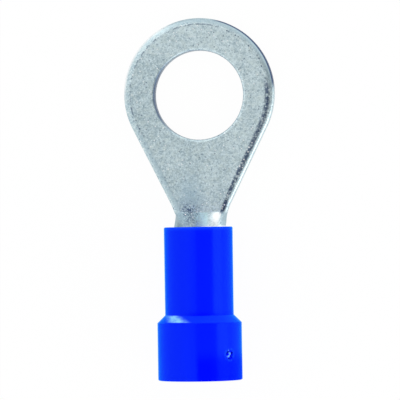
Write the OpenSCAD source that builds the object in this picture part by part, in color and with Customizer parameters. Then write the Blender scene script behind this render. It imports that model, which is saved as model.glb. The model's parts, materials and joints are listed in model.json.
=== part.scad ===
// Insulated ring terminal: one stamped and rolled metal piece, held in a moulded plastic sleeve.
// The origin is the centre of the stud hole on the contact face. +Y points to the tip of the ring,
// and +Z points out of the face that the barrel rises from. Sizes are in millimetres.

/* [Ring] */
// Width across the ring
ring_d = 11; // [10:0.1:12]
// Hole for the stud
stud_d = 6.5; // [5.3:0.1:6.8]
// How far the ring's circle is centred ahead of the stud hole
ring_ahead = 0.1; // [0:0.05:0.4]
// Thickness of the sheet
sheet = 0.8; // [0.6:0.05:1]
// Width of the rounding that the punch leaves along the outer edge
edge_roll_w = 0.44; // [0.2:0.01:0.5]
// Depth of that rounding
edge_roll_h = 0.2; // [0.05:0.01:0.3]
// Turn still left in the rounding where it breaks into the flat
edge_roll_break = 18; // [0:1:30]
// Rounding at the rim of the stud hole
hole_roll = 0.18; // [0.05:0.01:0.25]

/* [Neck] */
// From the stud hole back to the neck, where the sheet starts to curl
neck_at = 8.5; // [7.5:0.1:10]
// Width of the neck
neck_w = 3.74; // [3.4:0.02:4]
// Half the length over which each flank runs out into the neck
neck_ease = 0.45; // [0.1:0.05:0.6]
// Length over which the sheet curls from flat to fully rolled
curl_length = 3.4; // [2.8:0.1:4]

/* [Barrel] */
// Bore for the conductor
wire_bore = 2.3; // [2:0.1:2.6]
// Length of the fully rolled barrel
barrel_length = 4.05; // [3:0.05:6]
// Opening left between the two butted edges
seam_gap = 0.12; // [0.05:0.01:0.3]
// Number of grip grooves inside the barrel
groove_count = 3; // [1:1:3]
// Width of one grip groove
groove_w = 0.25; // [0.1:0.05:0.35]
// Depth of one grip groove
groove_depth = 0.1; // [0.05:0.01:0.15]
// Chamfer at the mouth of the barrel
mouth_chamfer = 0.15; // [0.05:0.05:0.3]

/* [Sleeve] */
// Neck left bare in front of the sleeve
neck_show = 1.1; // [1:0.1:1.6]
// Wall of the sleeve over the barrel
sleeve_wall = 0.52; // [0.45:0.01:0.7]
// How much narrower the slim part is at the shoulder than at its front
slim_taper = 0.02; // [0:0.01:0.12]
// Clearance between the barrel and the sleeve
sleeve_gap = 0.02; // [0.01:0.01:0.05]
// Length of the cone between the slim part and the bell
shoulder_length = 0.56; // [0.4:0.02:1.2]
// Length of the bell behind the shoulder
bell_length = 4.15; // [3:0.05:6]
// Bore of the bell, for the insulated wire
bell_bore = 5; // [4.8:0.1:5.4]
// Wall of the bell
bell_wall = 0.55; // [0.45:0.01:0.8]
// Length of the funnel that guides the wire from the bell into the barrel
funnel_length = 1.2; // [0.8:0.1:2]
// Rounding of both ends of the sleeve
rim_round = 0.1; // [0.05:0.01:0.25]

/* [Gate mark] */
// Diameter of the mark
gate_d = 0.7; // [0.5:0.05:1.2]
// Depth of the recess around it
gate_depth = 0.15; // [0.04:0.01:0.18]
// Diameter of the round stub left in the middle
gate_stub_d = 0.34; // [0.2:0.02:0.44]
// How far the top of the stub lies below the bell's surface
gate_stub_below = 0.02; // [0.01:0.01:0.04]
// From the end of the bell forward to the mark
gate_from_end = 1.88; // [1:0.02:3]
// Turn of the mark from the top of the bell
gate_angle = 52; // [0:1:90]

/* [Hidden] */
$fn = 96;

tin = [0.70, 0.76, 0.79];
blue = [0.02, 0.09, 0.95];

eps = 0.01;
past = 1;             // how far a cutter runs out of the metal
ream = 0.03;          // stock left inside the rolled barrel, which the bore takes out
ream_in = 0.1;        // the bore starts this far behind the place where the roll closes
arc_steps = 72;       // round the ring
across_steps = 40;    // across the sheet
curl_steps = 18;      // along the curl
roll_steps = 6;       // round a rolled edge
round_steps = 5;      // round the rim of the sleeve

ring_r = ring_d / 2;
neck_r = neck_w / 2;
bore_r = wire_bore / 2;
barrel_r = bore_r + sheet;
axis_z = barrel_r;
roll_at = neck_at + curl_length;
barrel_end = roll_at + barrel_length;

// Each flank runs from the neck and touches the ring's circle: its angle from the long axis.
flank_angle = asin(ring_r / norm([neck_r, neck_at + ring_ahead])) - atan(neck_r / (neck_at + ring_ahead));
flank_slope = tan(flank_angle);
neck_slope = (neck_r - barrel_r) / curl_length;
join_at = neck_at - neck_ease;

// Half the angle that the closed roll covers, less the seam.
wrap_end = 180 - asin(seam_gap / 2 / (bore_r + sheet / 2));

sleeve_front = neck_at + neck_show;
sleeve_bore_r = barrel_r + sleeve_gap;
slim_r = sleeve_bore_r + sleeve_wall;
bell_bore_r = bell_bore / 2;
bell_r = bell_bore_r + bell_wall;
bell_at = barrel_end + shoulder_length;
sleeve_end = bell_at + bell_length;

// The sheet, by the distance s behind the stud hole: how far it has curled, from 0 to 1.
function curled(s) = min(1, max(0, (s - neck_at) / curl_length));
function wrap(s) = wrap_end * curled(s);
// Half its width as seen from above: flank, run-out and neck in one line.
function half_width(s) =
    let (d = neck_at - s)
    d >= neck_ease ? neck_r + flank_slope * d
    : d <= -neck_ease ? neck_r + neck_slope * max(d, -curl_length)
    : neck_r + (flank_slope + neck_slope) / 2 * d
        + (flank_slope - neck_slope) * (d * d + neck_ease * neck_ease) / (4 * neck_ease);
function edge_slope(s) = (half_width(s - eps) - half_width(s + eps)) / (2 * eps);
function thickness(s) = sheet + ream * curled(s);
// Radius of its outer face: the width seen from above fixes it, whatever the curl.
function outer_r(s) = half_width(s) / sin(min(90, wrap(s)));

// One rounded edge, from the contact face up: [how far in, how high].
edge_profile = concat([[0, 0], [0, sheet - edge_roll_h]],
    [for (i = [1:roll_steps]) let (turn = 90 - edge_roll_break, a = turn * i / roll_steps)
        [edge_roll_w * (1 - cos(a)) / (1 - cos(turn)), sheet - edge_roll_h * (1 - sin(a) / sin(turn))]]);
layers = len(edge_profile) - 1;

// A point of the sheet that lies across at x and up at z while it is flat, after curling.
function curl_point(s, x, z) =
    let (w = half_width(s), t = wrap(s), h = z * thickness(s) / sheet)
    t < eps ? [x, -s, h]
    : let (r = outer_r(s), a = t * x / w)
        [(r - h) * sin(a), -s, r - (r - h) * cos(a)];

// How far across an edge point is, drawn in by the rounding as measured square to the edge.
function edge_x(s, inset) =
    let (w = half_width(s), drawn = inset * sqrt(1 + pow(edge_slope(s), 2)), t = wrap(s))
    t < eps ? w - drawn : w * (1 - drawn / (outer_r(s) - sheet / 2) / (t * PI / 180));

// One cross-section: under face left to right, right edge up, upper face back, left edge down.
function section(s) =
    let (w = half_width(s), top = edge_x(s, edge_roll_w))
    concat(
        [for (i = [0:across_steps]) curl_point(s, w * (2 * i / across_steps - 1), 0)],
        [for (k = [1:layers]) curl_point(s, edge_x(s, edge_profile[k][0]), edge_profile[k][1])],
        [for (i = [1:across_steps - 1]) curl_point(s, top * (1 - 2 * i / across_steps), sheet)],
        [for (k = [layers:-1:1]) curl_point(s, -edge_x(s, edge_profile[k][0]), edge_profile[k][1])]);

stations = concat([join_at],
    [for (i = [0:curl_steps]) neck_at + curl_length * i / curl_steps], [barrel_end]);
per_section = 2 * across_steps + 2 * layers;
ring_base = len(stations) * per_section;

// Points round the ring on each layer of the edge, from the right flank over the tip to the left.
ring_points = [for (p = edge_profile, i = [0:arc_steps])
    let (a = -flank_angle + (180 + 2 * flank_angle) * i / arc_steps)
    [(ring_r - p[0]) * cos(a), ring_ahead + (ring_r - p[0]) * sin(a), p[1]]];

function right_edge(k) = across_steps + k;
function left_edge(k) = k == 0 ? 0 : per_section - k;
function rim(k, i) = i < 0 ? right_edge(k) : i > arc_steps ? left_edge(k)
    : ring_base + k * (arc_steps + 1) + i;
function quad(a, b, c, d) = [[a, b, c], [a, c, d]];

module terminal_blank() {
    last = (len(stations) - 1) * per_section;
    sides = [for (k = [0:layers - 1], i = [-1:arc_steps])
        each quad(rim(k, i), rim(k + 1, i), rim(k + 1, i + 1), rim(k, i + 1))];
    tip = arc_steps / 2;
    under = concat([for (i = [tip:arc_steps]) rim(0, i)], [for (i = [0:across_steps]) i],
        [for (i = [0:tip - 1]) rim(0, i)]);
    upper = concat([for (i = [tip:-1:0]) rim(layers, i)],
        [for (i = [0:across_steps]) across_steps + layers + i],
        [for (i = [arc_steps:-1:tip + 1]) rim(layers, i)]);
    skin = [for (j = [0:len(stations) - 2], i = [0:per_section - 1])
        let (a = j * per_section, n = (i + 1) % per_section)
        each quad(a + i, a + n, a + per_section + n, a + per_section + i)];
    end = [for (i = [0:across_steps - 1])
        let (top = 2 * across_steps + layers - i)
        each quad(last + i, last + i + 1, last + top - 1, last + top)];
    end_right = [for (k = [0:layers]) last + right_edge(k)];
    end_left = [for (k = [layers:-1:0]) last + left_edge(k)];
    polyhedron(
        points = concat([for (s = stations) each section(s)], ring_points),
        faces = concat(sides, [under, upper], skin, end, [end_right, end_left]),
        convexity = 6);
}

// Places what is drawn up the Z axis along the barrel, s behind the stud hole.
module along_barrel(s) {
    translate([0, -s, axis_z]) rotate([90, 0, 0]) children();
}

module stud_hole() {
    translate([0, 0, -past]) cylinder(h = sheet + 2 * past, d = stud_d);
    rotate_extrude() translate([stud_d / 2 - eps, sheet]) polygon(concat(
        [[0, past], [0, -hole_roll]],
        [for (i = [0:round_steps]) let (a = 90 * i / round_steps)
            [eps + hole_roll * (1 - cos(a)), -hole_roll * (1 - sin(a))]],
        [[eps + hole_roll, past]]));
}

module wire_hole() {
    start = roll_at + ream_in;
    pitch = (barrel_end - start) / (groove_count + 1);
    along_barrel(start) cylinder(h = barrel_end - start + past, r = bore_r);
    for (i = [1:groove_count])
        along_barrel(start + i * pitch - groove_w / 2) cylinder(h = groove_w, r = bore_r + groove_depth);
    along_barrel(barrel_end - mouth_chamfer)
        cylinder(h = mouth_chamfer + eps, r1 = bore_r, r2 = bore_r + mouth_chamfer + eps);
}

module terminal() {
    color(tin) difference() {
        terminal_blank();
        stud_hole();
        wire_hole();
    }
}

// The front of the bore is opened for the corners of the neck, which is not yet closed there.
function corner_reach(s) = wrap(s) >= 90 ? 0
    : norm([half_width(s), axis_z - outer_r(s) * (1 - cos(wrap(s)))]) + sleeve_gap;
lead_in_r = max(sleeve_bore_r, corner_reach(sleeve_front));
lead_in_end = max(sleeve_front + sleeve_wall, neck_at + curl_length * 90 / wrap_end);

// A rounded corner of the sleeve's outline, turned from one angle to the other.
function rim_arc(r, s, from, to) = [for (i = [0:round_steps])
    let (a = from + (to - from) * i / round_steps) [r + rim_round * cos(a), s + rim_round * sin(a)]];

module sleeve_body() {
    along_barrel(0) rotate_extrude() polygon(concat(
        rim_arc(slim_r - rim_round, sleeve_front + rim_round, -90, 0),
        [[slim_r - slim_taper / 2, barrel_end], [bell_r, bell_at]],
        rim_arc(bell_r - rim_round, sleeve_end - rim_round, 0, 90),
        [[bell_bore_r, sleeve_end], [bell_bore_r, barrel_end + funnel_length],
            [sleeve_bore_r, barrel_end], [sleeve_bore_r, lead_in_end], [lead_in_r, sleeve_front]]));
}

module gate_recess() {
    translate([0, 0, axis_z]) rotate([0, gate_angle, 0]) translate([0, gate_from_end - sleeve_end, 0])
        difference() {
            translate([0, 0, bell_r - gate_depth]) cylinder(h = past, d = gate_d);
            translate([0, 0, bell_r - gate_stub_d / 2 - gate_stub_below]) sphere(d = gate_stub_d);
        }
}

module sleeve() {
    color(blue) difference() {
        sleeve_body();
        gate_recess();
    }
}

terminal();
sleeve();
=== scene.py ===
"""Looks of the insulated ring terminal: a tinned ring tongue that rolls up into a blue moulded sleeve."""
import json
from functools import reduce
from math import cos, pi, radians, sin, tan

import bpy
from mathutils import Euler, Matrix, Vector


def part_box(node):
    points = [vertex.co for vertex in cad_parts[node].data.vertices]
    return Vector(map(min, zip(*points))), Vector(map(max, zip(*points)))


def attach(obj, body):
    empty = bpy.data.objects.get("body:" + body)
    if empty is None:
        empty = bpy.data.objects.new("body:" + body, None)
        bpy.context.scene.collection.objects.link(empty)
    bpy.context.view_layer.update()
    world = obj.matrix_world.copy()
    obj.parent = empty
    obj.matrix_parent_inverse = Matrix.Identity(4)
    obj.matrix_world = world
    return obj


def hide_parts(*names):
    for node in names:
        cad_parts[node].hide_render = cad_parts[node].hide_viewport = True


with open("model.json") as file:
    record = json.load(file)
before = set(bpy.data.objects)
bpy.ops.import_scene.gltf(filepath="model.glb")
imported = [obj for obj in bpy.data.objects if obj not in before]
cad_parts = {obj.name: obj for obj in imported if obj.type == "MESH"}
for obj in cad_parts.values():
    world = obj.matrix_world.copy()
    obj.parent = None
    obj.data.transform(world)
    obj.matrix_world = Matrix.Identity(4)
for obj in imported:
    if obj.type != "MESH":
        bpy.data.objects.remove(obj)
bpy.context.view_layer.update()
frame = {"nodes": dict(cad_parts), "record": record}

MM = 0.001

# ---- camera and stage ----
LENS_MM = 300
SENSOR_MM = 36
VIEW_WIDTH = 29.06 * MM       # width of the object plane that fills the picture
VIEW_CENTRE = (0, -7.64 * MM, 0.8 * MM)
VIEW_SIDEWAYS = radians(8)    # the camera stands this far over to +X from straight above
VIEW_BACK = radians(0.7)      # and this far towards -Y
VIEW_ROLL = radians(0.85)
FLOOR_SIZE = 3.0              # in metres
FLOOR_GAP = 0.02              # left under the terminal, in millimetres

# ---- the part's own sizes that its finish follows, in millimetres ----
MOUNTS = {mount["name"]: mount for mount in frame["record"]["mounts"]}
TERMINAL_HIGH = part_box("terminal")[1] / MM
SLEEVE_LOW, SLEEVE_HIGH = (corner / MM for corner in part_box("sleeve"))
RING_R = TERMINAL_HIGH.x
RING_AHEAD = TERMINAL_HIGH.y - RING_R
SHEET = MOUNTS["washer_face"]["pos_m"][2] / MM
HOLE_R = MOUNTS["stud_hole"]["dims"]["r_mm"]
EDGE_ROLL = 0.44              # width of the rolled edge
HOLE_ROLL = 0.18
FLANK_ANGLE = radians(26.4)   # of each flank from the long axis
NECK_Y = -8.5                 # where the sheet starts to curl
BELL_R = SLEEVE_HIGH.x
BELL_AXIS_Z = (SLEEVE_LOW.z + SLEEVE_HIGH.z) / 2
BELL_Y = SLEEVE_LOW.y + 4.15          # front of the bell
SHOULDER_Y = BELL_Y + 0.56            # where the cone of the shoulder starts, seen from the ring

# ---- marks on the finish, in millimetres ----
# Each patch has its centre and half its width and height, as seen from above.
SCUFF = (-0.78, -8.60), 0.98, 1.05
HAZE = (-0.70, -7.6), 1.1, 1.9
GATE_ANGLE = radians(52)      # turn of the gate mark from the top of the bell
GATE_Y = SLEEVE_LOW.y + 1.88
GATE_R = 0.35
# Spots of painted shade and of painted highlight on the gate mark, given in the same way from its middle,
# across the bell and along it.
GATE_SHADE_SPOTS = (((-0.06, 0.20), 0.20, 0.09), ((0.30, 0.09), 0.05, 0.11), ((0.22, -0.12), 0.07, 0.07),
              ((0.04, -0.29), 0.10, 0.07), ((-0.19, 0.10), 0.07, 0.08))
GATE_HIGHLIGHTS = (((0.10, 0.05), 0.15, 0.13), ((0.00, -0.12), 0.16, 0.08), ((-0.28, -0.01), 0.05, 0.07),
              ((0.04, 0.31), 0.06, 0.04))

# ---- how the copies of the CAD's meshes are made smooth and marked ----
MERGE_WITHIN = 0.0005 * MM
FLAT_WITHIN = radians(0.05)
SMOOTH_UP_TO = radians(35)
LEVEL_WITHIN = 0.001 * MM
LEVEL_NORMAL_Z = 0.99999      # least for a face that is level
UPWARD_NORMAL_Z = 0.05        # least for a face that looks up
LOOKS_UP = "looks_up"         # mesh attribute: 1 on the faces that look up


# ---- colours of the finish ----
def rgb(r, g, b):
    return (r, g, b, 1.0)


# The dull tin also serves as painted shade, and the white tin as painted highlights and glints besides
# bright specks and scratches.
DULL_TIN, BRIGHT_TIN = rgb(0.32, 0.44, 0.50), rgb(0.73, 0.87, 0.91)
# Painted light for the middle of the curl.
CURL_PAINTED_LIGHT_TIN = rgb(0.60, 0.88, 0.92)
WARM_TIN, BLUE_GREY_TIN, WHITE_TIN = rgb(0.60, 0.70, 0.67), rgb(0.32, 0.50, 0.64), rgb(0.97, 0.99, 1.0)
# Dark for pits, dirt and scuff marks, and also for painted shade.
GRIME_AND_SHADE = rgb(0.05, 0.085, 0.17)
DEEP_BLUE, FULL_BLUE = rgb(0.0, 0.002, 0.985), rgb(0.0, 0.003, 1.0)
GLOSS_BLUE, GLOSS_EDGE = rgb(0.085, 0.57, 1.0), rgb(0.35, 0.85, 1.0)   # of what the plastic mirrors
# Some of the next blues are painted: highlights on the shoulder and the gate, light on the front rim and
# cone, and shade in the gate's recess.
HIGHLIGHT_BLUE, GATE_HIGHLIGHT_BLUE = rgb(0.29, 0.68, 1.0), rgb(0.18, 0.50, 1.0)
PAINTED_LIGHT_BLUE, GATE_BLUE, RECESS_SHADE_BLUE = rgb(0.002, 0.035, 1.0), rgb(0.01, 0.09, 1.0), rgb(0.0, 0.002, 0.38)
FLOOR_GREY, FLOOR_WHITE = rgb(0.95, 0.95, 0.95), rgb(1, 1, 1)
PLASTIC_IOR = 1.45

# ---- light: radiance, where 1 is white ----
ROOM = 1.86                   # the right side of the pale room
LEFT_LOSS = 0.33              # share of it that the left side lacks
NEAR_LOSS = 0.48              # share that is missing just left of the stand
GAP_DEPTH = 0.76              # share that is missing where the camera and its stand are
GAP_SIDES = radians(-3), radians(57)   # the stand's edges, from overhead towards +X
GAP_ENDS = radians(13), radians(26)    # between these it fades out, towards +Y and towards -Y
OWN_WHITE = 0.97              # share of the floor's look that is its own white
# Soft boxes: place from the point under the middle of the view, width, height and radiance.
KEY_BOX = (-0.117, 0.177, 0.212), 0.13, 0.13, 0.6    # to the upper left of the ring
FILL_BOX = (0.24, -0.15, 0.09), 0.14, 0.20, 1.4      # low on the right


# ---------------------------------------------------------------- shader helpers
class Val:
    """A socket of a shader node that can be used in expressions."""

    def __init__(self, mat, socket):
        self.mat, self.socket = mat, socket

    def _math(self, operation, *others):
        return self.mat.node("ShaderNodeMath", {"operation": operation}, [self, *others])

    def __add__(self, other):
        return self._math("ADD", other)

    def __mul__(self, other):
        return self._math("MULTIPLY", other)

    def __sub__(self, other):
        return self._math("SUBTRACT", other)

    def __rsub__(self, other):
        return self * -1 + other

    def __truediv__(self, other):
        return self._math("DIVIDE", other)

    __radd__, __rmul__ = __add__, __mul__

    def power(self, other):
        return self._math("POWER", other)

    def absolute(self):
        return self._math("ABSOLUTE")

    def greater(self, other):
        return self._math("GREATER_THAN", other)

    def most(self, other):
        return self._math("MAXIMUM", other)

    def rise(self, low, high, to_low=0.0, to_high=1.0):
        """A smooth step between low and high."""
        return self.mat.node("ShaderNodeMapRange", {"interpolation_type": "SMOOTHSTEP"},
                             {"Value": self, "From Min": low, "From Max": high,
                              "To Min": to_low, "To Max": to_high})

    def fall(self, low, high, to_low=1.0, to_high=0.0):
        """A smooth step down between low and high."""
        return self.rise(low, high, to_low, to_high)

    def within(self, low, high, soft):
        """1 between low and high, and 0 outside them."""
        return self.rise(low - soft, low) * self.fall(high, high + soft)


class Nodes:
    """The node tree of a material or world under construction."""

    def __init__(self, owner):
        owner.use_nodes = True
        self.owner, self.tree = owner, owner.node_tree
        self.tree.nodes.clear()

    def node(self, kind, settings=None, inputs=None, out=0):
        made = self.tree.nodes.new(kind)
        for key, value in (settings or {}).items():
            setattr(made, key, value)
        pairs = inputs.items() if isinstance(inputs, dict) else enumerate(inputs or [])
        for key, value in pairs:
            if isinstance(value, Val):
                self.tree.links.new(value.socket, made.inputs[key])
            else:
                made.inputs[key].default_value = value
        return Val(self, made.outputs[out]) if made.outputs else None

    def place(self, shift=(0, 0, 0), scale=(1, 1, 1), turn=0.0):
        """Object coordinates in millimetres, scaled, turned about Z and moved."""
        here = self.node("ShaderNodeTexCoord", out="Object")
        return self.node("ShaderNodeMapping", {}, {
            "Vector": here, "Scale": [s / MM for s in scale], "Rotation": (0, 0, turn), "Location": shift})

    def split(self, vector):
        """The three numbers of a vector."""
        parts = self.node("ShaderNodeSeparateXYZ", {}, [vector]).socket.node
        return [Val(self, output) for output in parts.outputs]

    def attribute(self, name):
        """A number that the mesh carries on its faces."""
        return self.node("ShaderNodeAttribute", {"attribute_name": name}, out="Fac")

    def noise(self, per_mm, detail, rough, **place):
        return self.node("ShaderNodeTexNoise", {}, {
            "Vector": self.place(**place), "Scale": per_mm, "Detail": detail, "Roughness": rough})

    def cells(self, per_mm, shift):
        """Distance from the nearest of many scattered points."""
        return self.node("ShaderNodeTexVoronoi", {}, {
            "Vector": self.place(shift), "Scale": per_mm}, out="Distance")

    def mix(self, factor, first, second):
        return self.node("ShaderNodeMix", {"data_type": "RGBA"}, {0: factor, 6: first, 7: second}, out=2)

    def bump(self, height, distance, strength):
        return self.node("ShaderNodeBump", {}, {
            "Height": height, "Distance": distance, "Strength": strength})

    def principled(self, **inputs):
        return self.node("ShaderNodeBsdfPrincipled", {}, inputs)

    def finish(self, shader):
        self.node("ShaderNodeOutputMaterial", {}, [shader])
        return self.owner


def patch(x, y, centre, half_width, half_height):
    """Distance from the centre of an oval patch, where its outline is at 1."""
    across, along = (x - centre[0]) / half_width, (y - centre[1]) / half_height
    return (across * across + along * along).power(0.5)


def spots(x, y, places):
    """1 on any of the small oval spots."""
    return reduce(Val.most, [patch(x, y, *place).fall(0.6, 1.2) for place in places])


# ---------------------------------------------------------------- tinned copper
def edge_distance(x, y):
    """How far in from the outline of the ring and its flanks a point lies, in millimetres."""
    side = x.absolute()
    ahead = y - RING_AHEAD
    round_part = (side * side + ahead * ahead).power(0.5)
    flank_part = side * cos(FLANK_ANGLE) - ahead * sin(FLANK_ANGLE)
    on_flank = (side * -tan(FLANK_ANGLE)).greater(ahead)
    return RING_R - (round_part + (flank_part - round_part) * on_flank)


def plating(m, x, y, grain, fine, pits):
    """Dull electroplate: fine crystals, slow clouds, and scattered bright and dark specks, with painted
    light towards +X and the top.
    """
    clouds = m.noise(0.6, 3, 0.6, shift=(3, 7, 1))
    # The x and y terms are painted light: the plating is lighter towards +X and towards the ring's top.
    shade = clouds * 0.14 + grain * 0.42 + fine * 0.44 + x * 0.004 + y.most(0) * 0.006
    tone = m.mix(shade.rise(0.355, 0.63), DULL_TIN, BRIGHT_TIN)
    tint = m.noise(3.1, 3, 0.6, shift=(2, 5, 8))
    tone = m.mix(tint.rise(0.4, 0.7) * 0.35, tone, WARM_TIN)
    tone = m.mix(pits * 0.6, tone, GRIME_AND_SHADE)
    bright = m.cells(2.6, (4, 1, 7)).fall(0.07, 0.16)
    tone = m.mix(bright * 0.85, tone, WHITE_TIN)
    scratches = m.noise(1.0, 2, 0.5, scale=(0.35, 7.0, 1), turn=radians(58)).rise(0.68, 0.74)
    return m.mix(scratches * 0.2, tone, WHITE_TIN)


def scuff_marks(m, x, y, top):
    """Fine marks of the tool that bends the neck, in the plating where the curl starts."""
    speckle = m.noise(9.5, 2, 0.85, shift=(1, 1, 4), scale=(1.2, 0.8, 1)).rise(0.49, 0.56)
    return patch(x, y, *SCUFF).fall(0.2, 1.2) * top * speckle


def neck_marks_and_painted_light(m, x, y, top, grain, scuffed, tone):
    """The neck's left is bluer and darker; the curl gets painted shade on its left, ahead of the sleeve
    and at its right edge, painted light in its middle, and painted highlights on the right wing and just
    ahead of the sleeve.
    """
    # Bluer and darker on the neck's left.
    haze = patch(x, y, *HAZE).fall(0.1, 1.3) * top
    tone = m.mix(haze * 0.40, tone, BLUE_GREY_TIN)
    curl = y.fall(NECK_Y - 0.12, NECK_Y + 0.02) * grain.rise(0.3, 0.6, 0.65, 1.0) * top
    # Painted shade: the left of the curl, which faces away from the light, is darker.
    tone = m.mix(curl * x.fall(-0.95, -0.35) * 0.9, tone, DULL_TIN)
    # Painted light: the middle of the curl is lighter.
    tone = m.mix(curl * x.within(-0.3, 0.4, 0.3) * 0.75, tone, CURL_PAINTED_LIGHT_TIN)
    # Painted shade: the curl's left is darker just ahead of the sleeve.
    tone = m.mix(curl * x.within(-1.55, -0.85, 0.2) * y.fall(-9.5, -9.05) * 0.42, tone, GRIME_AND_SHADE)
    # Painted shade: the curl's right edge, where the wing turns over, is darker.
    tone = m.mix(curl * x.rise(1.48, 1.62) * 0.7, tone, DULL_TIN)
    tone = m.mix(scuffed * 0.9, tone, GRIME_AND_SHADE)
    # Painted highlight on the right wing where it rises.
    across = x + (NECK_Y - y) * 0.2
    wing_highlight = across.rise(0.75, 1.25) * across.fall(1.48, 1.62) * curl * y.rise(-9.7, -8.8, 0.4, 1.0)
    # Painted highlight: a bright line on the metal just ahead of the sleeve.
    sleeve_edge_highlight = y.fall(SLEEVE_HIGH.y + 0.03, SLEEVE_HIGH.y + 0.11) * x.rise(-0.4, 0.3) * top * 0.8
    return m.mix(wing_highlight.most(sleeve_edge_highlight), tone, WHITE_TIN)


def edge_dirt_shade_and_glints(m, x, y, top, inward, scuffed, tone):
    """Dirt in the break between the rolled edge and the flat.

    It lies in dashes round the ring, and in dots down the left flank and on the ring's upper right. A
    broad broken band down the right flank is partly dirt and partly painted shade, and painted glints lie
    in it and in the scuff marks.
    """
    from_break = (inward - EDGE_ROLL).absolute() + (1 - top)
    right = x.rise(0.5, 2.5) * y.rise(0.3, 1.0)
    dashes = m.noise(2.4, 3, 0.7, shift=(5, 5, 0)).rise(0.46, 0.56)
    dashes = dashes * y.rise(-3.5, -1.5) * (0.6 - right * 0.4)
    tone = m.mix(from_break.fall(0.02, 0.08) * dashes, tone, GRIME_AND_SHADE)
    dots = m.cells(3.6, (1, 6, 3)).fall(0.18, 0.34)
    left = x.fall(-3.0, -1.5) * y.fall(-1.8, 0.0) * 0.8
    tone = m.mix(from_break.fall(0.05, 0.20) * dots * left, tone, GRIME_AND_SHADE)
    tone = m.mix(from_break.fall(0.04, 0.12) * dots * right, tone, GRIME_AND_SHADE)

    # Partly dirt and partly painted shade: a broken dark band on the rolled edge of the right flank.
    middle = y.rise(-8.5, -6.8, 0.25, 0.38) + y.rise(-4.0, 0.0, 0.0, 0.09)
    band = ((inward - middle).absolute() / y.rise(-8.0, -4.5, 0.72, 1.0)).fall(0.09, 0.25) * top
    band = band * x.rise(0.6, 1.4) * y.fall(0.2, 1.4) * y.rise(NECK_Y - 0.3, NECK_Y + 0.1)
    blots = m.noise(4.5, 3, 0.8, shift=(3, 2, 6)).rise(0.36, 0.52).most(y.fall(-8.0, -7.6))
    tone = m.mix(band * blots * y.rise(-8.0, -4.0, 0.94, 0.86), tone, GRIME_AND_SHADE)
    # Painted glints in the band and in the scuff marks.
    glints = m.cells(4.0, (7, 7, 1)).fall(0.14, 0.28)
    return m.mix((band * y.fall(-3.0, -1.0)).most(scuffed) * glints, tone, WHITE_TIN)


def punched_edges(m, x, y, z, inward, tone):
    """The rolled edge has a painted highlight on the ring's upper left, and painted shade on its upper
    right and left flank.

    The corner of the upper right is dark, and the punched wall, the hole's wall and the left of the hole's
    rim have painted shade.
    """
    # Painted highlight on the rolled edge of the ring's upper left.
    upper_left_highlight = inward.fall(0.06, 0.18) * x.fall(-3.2, -1.2) * y.rise(-1.0, 1.0) * 0.7
    tone = m.mix(upper_left_highlight, tone, WHITE_TIN)
    # Painted shade on the rolled edge of the ring's upper right and of the left flank.
    grey = inward.fall(0.25, 0.42) * x.rise(-3.0, -1.0) * y.rise(-0.3, 0.8)
    left_flank = inward.within(0.25, 0.44, 0.15) * x.fall(-1.5, -1.0) * y.fall(-3.0, -2.0) * 0.8
    tone = m.mix(grey.most(left_flank) * 0.65, tone, DULL_TIN)
    # Faint painted shade on the punched wall.
    wall = inward.fall(0.01, 0.05) * z.fall(SHEET - 0.25, SHEET - 0.15) * y.rise(NECK_Y, NECK_Y + 1)
    sheared = inward.fall(0.05, 0.13) * y.rise(0.2, 1.0) * x.rise(0.8, 1.8)
    tone = m.mix(sheared.most(wall * 0.05), tone, GRIME_AND_SHADE)
    # Painted shade on the hole's wall and on the left of its rim.
    from_hole = (x * x + y * y).power(0.5) - HOLE_R
    rim = from_hole.fall(HOLE_ROLL * 0.35, HOLE_ROLL * 0.85) * x.fall(-3.1, -1.4) * 0.85
    return m.mix(rim.most(from_hole.fall(0.01, 0.04) * 0.6), tone, GRIME_AND_SHADE)


def tinned_copper():
    m = Nodes(bpy.data.materials.new("tinned_copper"))
    x, y, z = m.split(m.place())
    top = m.attribute(LOOKS_UP)
    inward = edge_distance(x, y)
    grain = m.noise(5.5, 3, 0.7)
    fine = m.noise(12.0, 2, 0.7)
    pits = m.cells(2.9, (8, 3, 2)).fall(0.09, 0.20)
    scuffed = scuff_marks(m, x, y, top)

    tone = plating(m, x, y, grain, fine, pits)
    tone = neck_marks_and_painted_light(m, x, y, top, grain, scuffed, tone)
    tone = edge_dirt_shade_and_glints(m, x, y, top, inward, scuffed, tone)
    tone = punched_edges(m, x, y, z, inward, tone)
    height = grain * 0.5 + fine * 0.4 - pits * 0.5 - scuffed * 0.6
    return m.finish(m.principled(**{
        "Base Color": tone, "Metallic": 1.0, "Roughness": grain.rise(0.3, 0.7, 0.30, 0.42),
        "Normal": m.bump(height, 0.010 * MM, 0.7)}))


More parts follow.
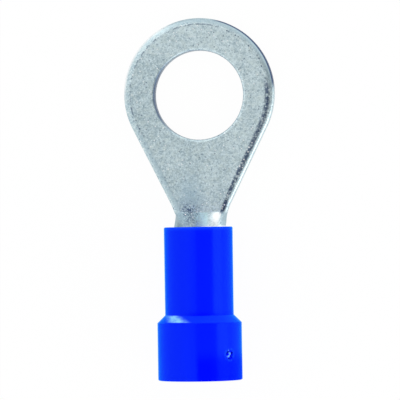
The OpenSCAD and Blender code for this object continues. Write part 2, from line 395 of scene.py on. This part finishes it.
# ---------------------------------------------------------------- blue plastic
def gate_mark(m, x, y, z, tone):
    """The gate's recess has a lighter ragged ring at its edge, painted shade in dark spots, and painted
    highlights on its stub and round it.
    """
    across = x * cos(GATE_ANGLE) - (z - BELL_AXIS_Z) * sin(GATE_ANGLE)
    outward = x * sin(GATE_ANGLE) + (z - BELL_AXIS_Z) * cos(GATE_ANGLE)
    along = y - GATE_Y
    inside = outward.fall(BELL_R - 0.4, BELL_R - 0.3)
    from_gate = patch(across, along, (0, 0), GATE_R, GATE_R) + inside * 3
    here = from_gate.fall(1.5, 1.8)
    ragged = m.noise(6.0, 2, 0.6).rise(0.35, 0.6)
    tone = m.mix(from_gate.within(0.9, 1.3, 0.25) * ragged * 0.4, tone, GATE_BLUE)
    # Painted shade in the recess: dark spots, mostly on its upper left.
    tone = m.mix(spots(across, along, GATE_SHADE_SPOTS) * here * 0.9, tone, RECESS_SHADE_BLUE)
    # Painted highlights: a bright spot on the stub and lighter patches round it.
    return m.mix(spots(across, along, GATE_HIGHLIGHTS) * here * (ragged * 0.3 + 0.7), tone, GATE_HIGHLIGHT_BLUE)


def shoulder_painted_light(m, x, y, ahead, tone):
    """Painted highlight on the left of the shoulder, and painted light on the rest of the cone and on the
    sleeve's front rim.
    """
    # Painted highlight on the left of the shoulder, in streaks.
    pale = (x + ahead * 0.6).rise(-2.5, -1.8) * (x + ahead * 1.7).fall(-1.78, -0.88)
    pale = pale * ahead.within(-0.46, -0.04, 0.06)
    streaks = m.noise(1.6, 3, 0.7, scale=(1.0, 2.5, 1.0), turn=radians(-35)).rise(0.35, 0.6, 0.5, 1.0)
    tone = m.mix(pale * streaks, tone, HIGHLIGHT_BLUE)
    # Painted light: the sleeve's front rim and the rest of the cone are lighter.
    front = y.rise(SLEEVE_HIGH.y - 0.32, SLEEVE_HIGH.y - 0.04)
    cone = ahead.within(-0.48, -0.06, 0.04) * (1 - pale) * 0.35
    return m.mix(front.most(cone), tone, PAINTED_LIGHT_BLUE)


def painted_shade_dulling(x, y, ahead):
    """Where the gloss is dull, as painted shade: at the rear of the bell's right side, and in the crease
    before the cone.
    """
    rear = x.rise(0.05, 0.4) * x.fall(0.9, 2.2, 1.0, 0.65) * y.fall(SLEEVE_LOW.y + 1.2, SLEEVE_LOW.y + 2.4)
    crease = ahead.rise(-0.06, 0.0) * ahead.fall(0.06, 0.40)
    crease = crease * x.rise(-1.5, 0.3) * x.fall(0.6, 1.8, 1.0, 0.4)
    return rear.most(crease * 0.65)


def blue_plastic():
    m = Nodes(bpy.data.materials.new("blue_plastic"))
    x, y, z = m.split(m.place())
    ahead = y - SHOULDER_Y
    flow = m.noise(0.5, 2, 0.5, scale=(1, 0.35, 1))
    grain = m.noise(14.0, 3, 0.6)

    tone = m.mix(flow.rise(0.35, 0.65), DEEP_BLUE, FULL_BLUE)
    tone = gate_mark(m, x, y, z, tone)
    tone = shoulder_painted_light(m, x, y, ahead, tone)
    normal = m.bump(grain * 0.6 + m.noise(2.2, 2, 0.5) * 0.8, 0.003 * MM, 0.4)
    body = m.principled(**{"Base Color": tone, "Roughness": 0.5, "Specular IOR Level": 0.0,
                           "Normal": normal})
    gloss = m.principled(**{"Base Color": GLOSS_BLUE, "Metallic": 1.0, "Specular Tint": GLOSS_EDGE,
                            "Roughness": grain.rise(0.3, 0.7, 0.19, 0.24), "Normal": normal})
    # Painted shade: less gloss at the rear of the bell's right side and in the crease before the cone.
    share = m.node("ShaderNodeFresnel", {}, {"IOR": PLASTIC_IOR}) * (1 - painted_shade_dulling(x, y, ahead) * 0.9)
    return m.finish(m.node("ShaderNodeMixShader", {}, [share, body, gloss]))


def white_floor():
    """Pale matt floor: seen directly it is mostly its own white, and it keeps a soft shadow."""
    m = Nodes(bpy.data.materials.new("white_floor"))
    path = m.node("ShaderNodeLightPath").socket.node
    seen = Val(m, path.outputs["Is Camera Ray"]).most(Val(m, path.outputs["Is Glossy Ray"]))
    seen = seen.most(Val(m, path.outputs["Is Transmission Ray"]))
    lit = m.node("ShaderNodeBsdfDiffuse", {}, {"Color": FLOOR_GREY})
    white = m.node("ShaderNodeEmission", {}, {"Color": FLOOR_WHITE, "Strength": 1.0})
    return m.finish(m.node("ShaderNodeMixShader", {}, [seen * OWN_WHITE, lit, white]))


# ---------------------------------------------------------------- pieces
def merged_copy(node, name):
    """The CAD node's own shape with its loose triangles joined, so that it can be shaded smooth."""
    source = frame["nodes"][node]
    piece = bpy.data.objects.new(name, source.data.copy())
    bpy.context.scene.collection.objects.link(piece)
    piece.data.materials.clear()
    bpy.ops.object.select_all(action="DESELECT")
    piece.select_set(True)
    bpy.context.view_layer.objects.active = piece
    bpy.ops.object.mode_set(mode="EDIT")
    bpy.ops.mesh.select_all(action="SELECT")
    bpy.ops.mesh.customdata_custom_splitnormals_clear()
    bpy.ops.mesh.remove_doubles(threshold=MERGE_WITHIN)
    bpy.ops.mesh.dissolve_limited(angle_limit=FLAT_WITHIN)
    bpy.ops.mesh.select_all(action="DESELECT")
    bpy.ops.object.mode_set(mode="OBJECT")
    bpy.ops.object.shade_smooth_by_angle(angle=SMOOTH_UP_TO)
    return piece


def crisp_flat(piece, height):
    """Keeps the border of the flat upper face sharp, where the rolled edge and the curl break into it."""
    for face in piece.data.polygons:
        at_height = abs(face.center.z - height) < LEVEL_WITHIN
        face.select = at_height and face.normal.z > LEVEL_NORMAL_Z
    bpy.ops.object.mode_set(mode="EDIT")
    bpy.ops.mesh.select_mode(type="FACE")
    bpy.ops.mesh.region_to_loop()
    bpy.ops.mesh.mark_sharp()
    bpy.ops.mesh.select_all(action="DESELECT")
    bpy.ops.object.mode_set(mode="OBJECT")
    return piece


def mark_upward(piece):
    """Notes which faces look up, for the marks that are on the upper side alone."""
    upward = [float(face.normal.z > UPWARD_NORMAL_Z) for face in piece.data.polygons]
    piece.data.attributes.new(LOOKS_UP, "FLOAT", "FACE").data.foreach_set("value", upward)
    return piece


def add_piece(piece, node, material):
    piece.data.materials.append(material)
    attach(piece, "root")
    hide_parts(node)


# ---------------------------------------------------------------- stage
def soft_box(name, place, width, height, radiance):
    data = bpy.data.lights.new(name, "AREA")
    data.shape, data.size, data.size_y = "RECTANGLE", width, height
    data.energy = radiance * pi * width * height
    lamp = bpy.data.objects.new(name, data)
    bpy.context.scene.collection.objects.link(lamp)
    lamp.location = (place[0], place[1] + VIEW_CENTRE[1], place[2])
    lamp.visible_camera = False
    lamp.rotation_euler = (Vector(VIEW_CENTRE) - lamp.location).to_track_quat("-Z", "Y").to_euler()


def make_world():
    """A pale room, brighter on the right, with the dark stand of the camera overhead."""
    world = bpy.data.worlds.new("studio")
    bpy.context.scene.world = world
    m = Nodes(world)
    x, y, z = m.split(m.node("ShaderNodeTexCoord", out="Generated"))
    slope = x / z.most(0.05)      # how far a direction leans to +X, kept finite at the horizon
    near, far = (tan(side) for side in GAP_SIDES)
    middle = y.absolute().fall(*(sin(end) for end in GAP_ENDS))
    stand = slope.rise(near - 0.03, near + 0.03) * slope.fall(far - 0.05, far + 0.05) * middle
    beside = slope.rise(near - 0.9, near - 0.1) * slope.fall(near - 0.03, near + 0.03) * middle
    left = slope.fall(near - 0.3, far)
    loss = (left * LEFT_LOSS).most(beside * NEAR_LOSS).most(stand * GAP_DEPTH)
    sky = m.node("ShaderNodeBackground", {}, {"Strength": (1 - loss) * ROOM})
    m.node("ShaderNodeOutputWorld", {}, [sky])


def make_floor():
    """The terminal rests on its bell's front and its ring's tip, so the floor leans to touch both."""
    lean = -SLEEVE_LOW.z / (TERMINAL_HIGH.y - BELL_Y)
    bpy.ops.object.select_all(action="DESELECT")
    bpy.ops.mesh.primitive_plane_add(size=FLOOR_SIZE)
    floor = bpy.context.object
    floor.name = "floor"
    floor.rotation_euler = Euler((lean, 0, 0))
    floor.location = (0, 0, (-lean * TERMINAL_HIGH.y - FLOOR_GAP) * MM)
    floor.data.materials.append(white_floor())


def make_camera():
    data = bpy.data.cameras.new("camera")
    data.type, data.lens, data.sensor_width = "PERSP", LENS_MM, SENSOR_MM
    data.clip_start, data.clip_end = 0.01, 10
    camera = bpy.data.objects.new("camera", data)
    bpy.context.scene.collection.objects.link(camera)
    outward = Vector((tan(VIEW_SIDEWAYS), -tan(VIEW_BACK), 1)).normalized()
    camera.location = Vector(VIEW_CENTRE) + outward * VIEW_WIDTH * LENS_MM / SENSOR_MM
    across = Vector((0, 1, 0)).cross(outward).normalized()
    facing = Matrix((across, outward.cross(across), outward)).transposed()
    roll = Euler((0, 0, -VIEW_ROLL)).to_matrix()
    camera.rotation_euler = (facing @ roll).to_euler()
    bpy.context.scene.camera = camera


bpy.context.scene.view_settings.view_transform = "Standard"
make_world()
make_floor()
make_camera()
soft_box("key_box", *KEY_BOX)
soft_box("fill_box", *FILL_BOX)
metal = mark_upward(crisp_flat(merged_copy("terminal", "terminal_metal"), SHEET * MM))
add_piece(metal, "terminal", tinned_copper())
add_piece(merged_copy("sleeve", "insulating_sleeve"), "sleeve", blue_plastic())
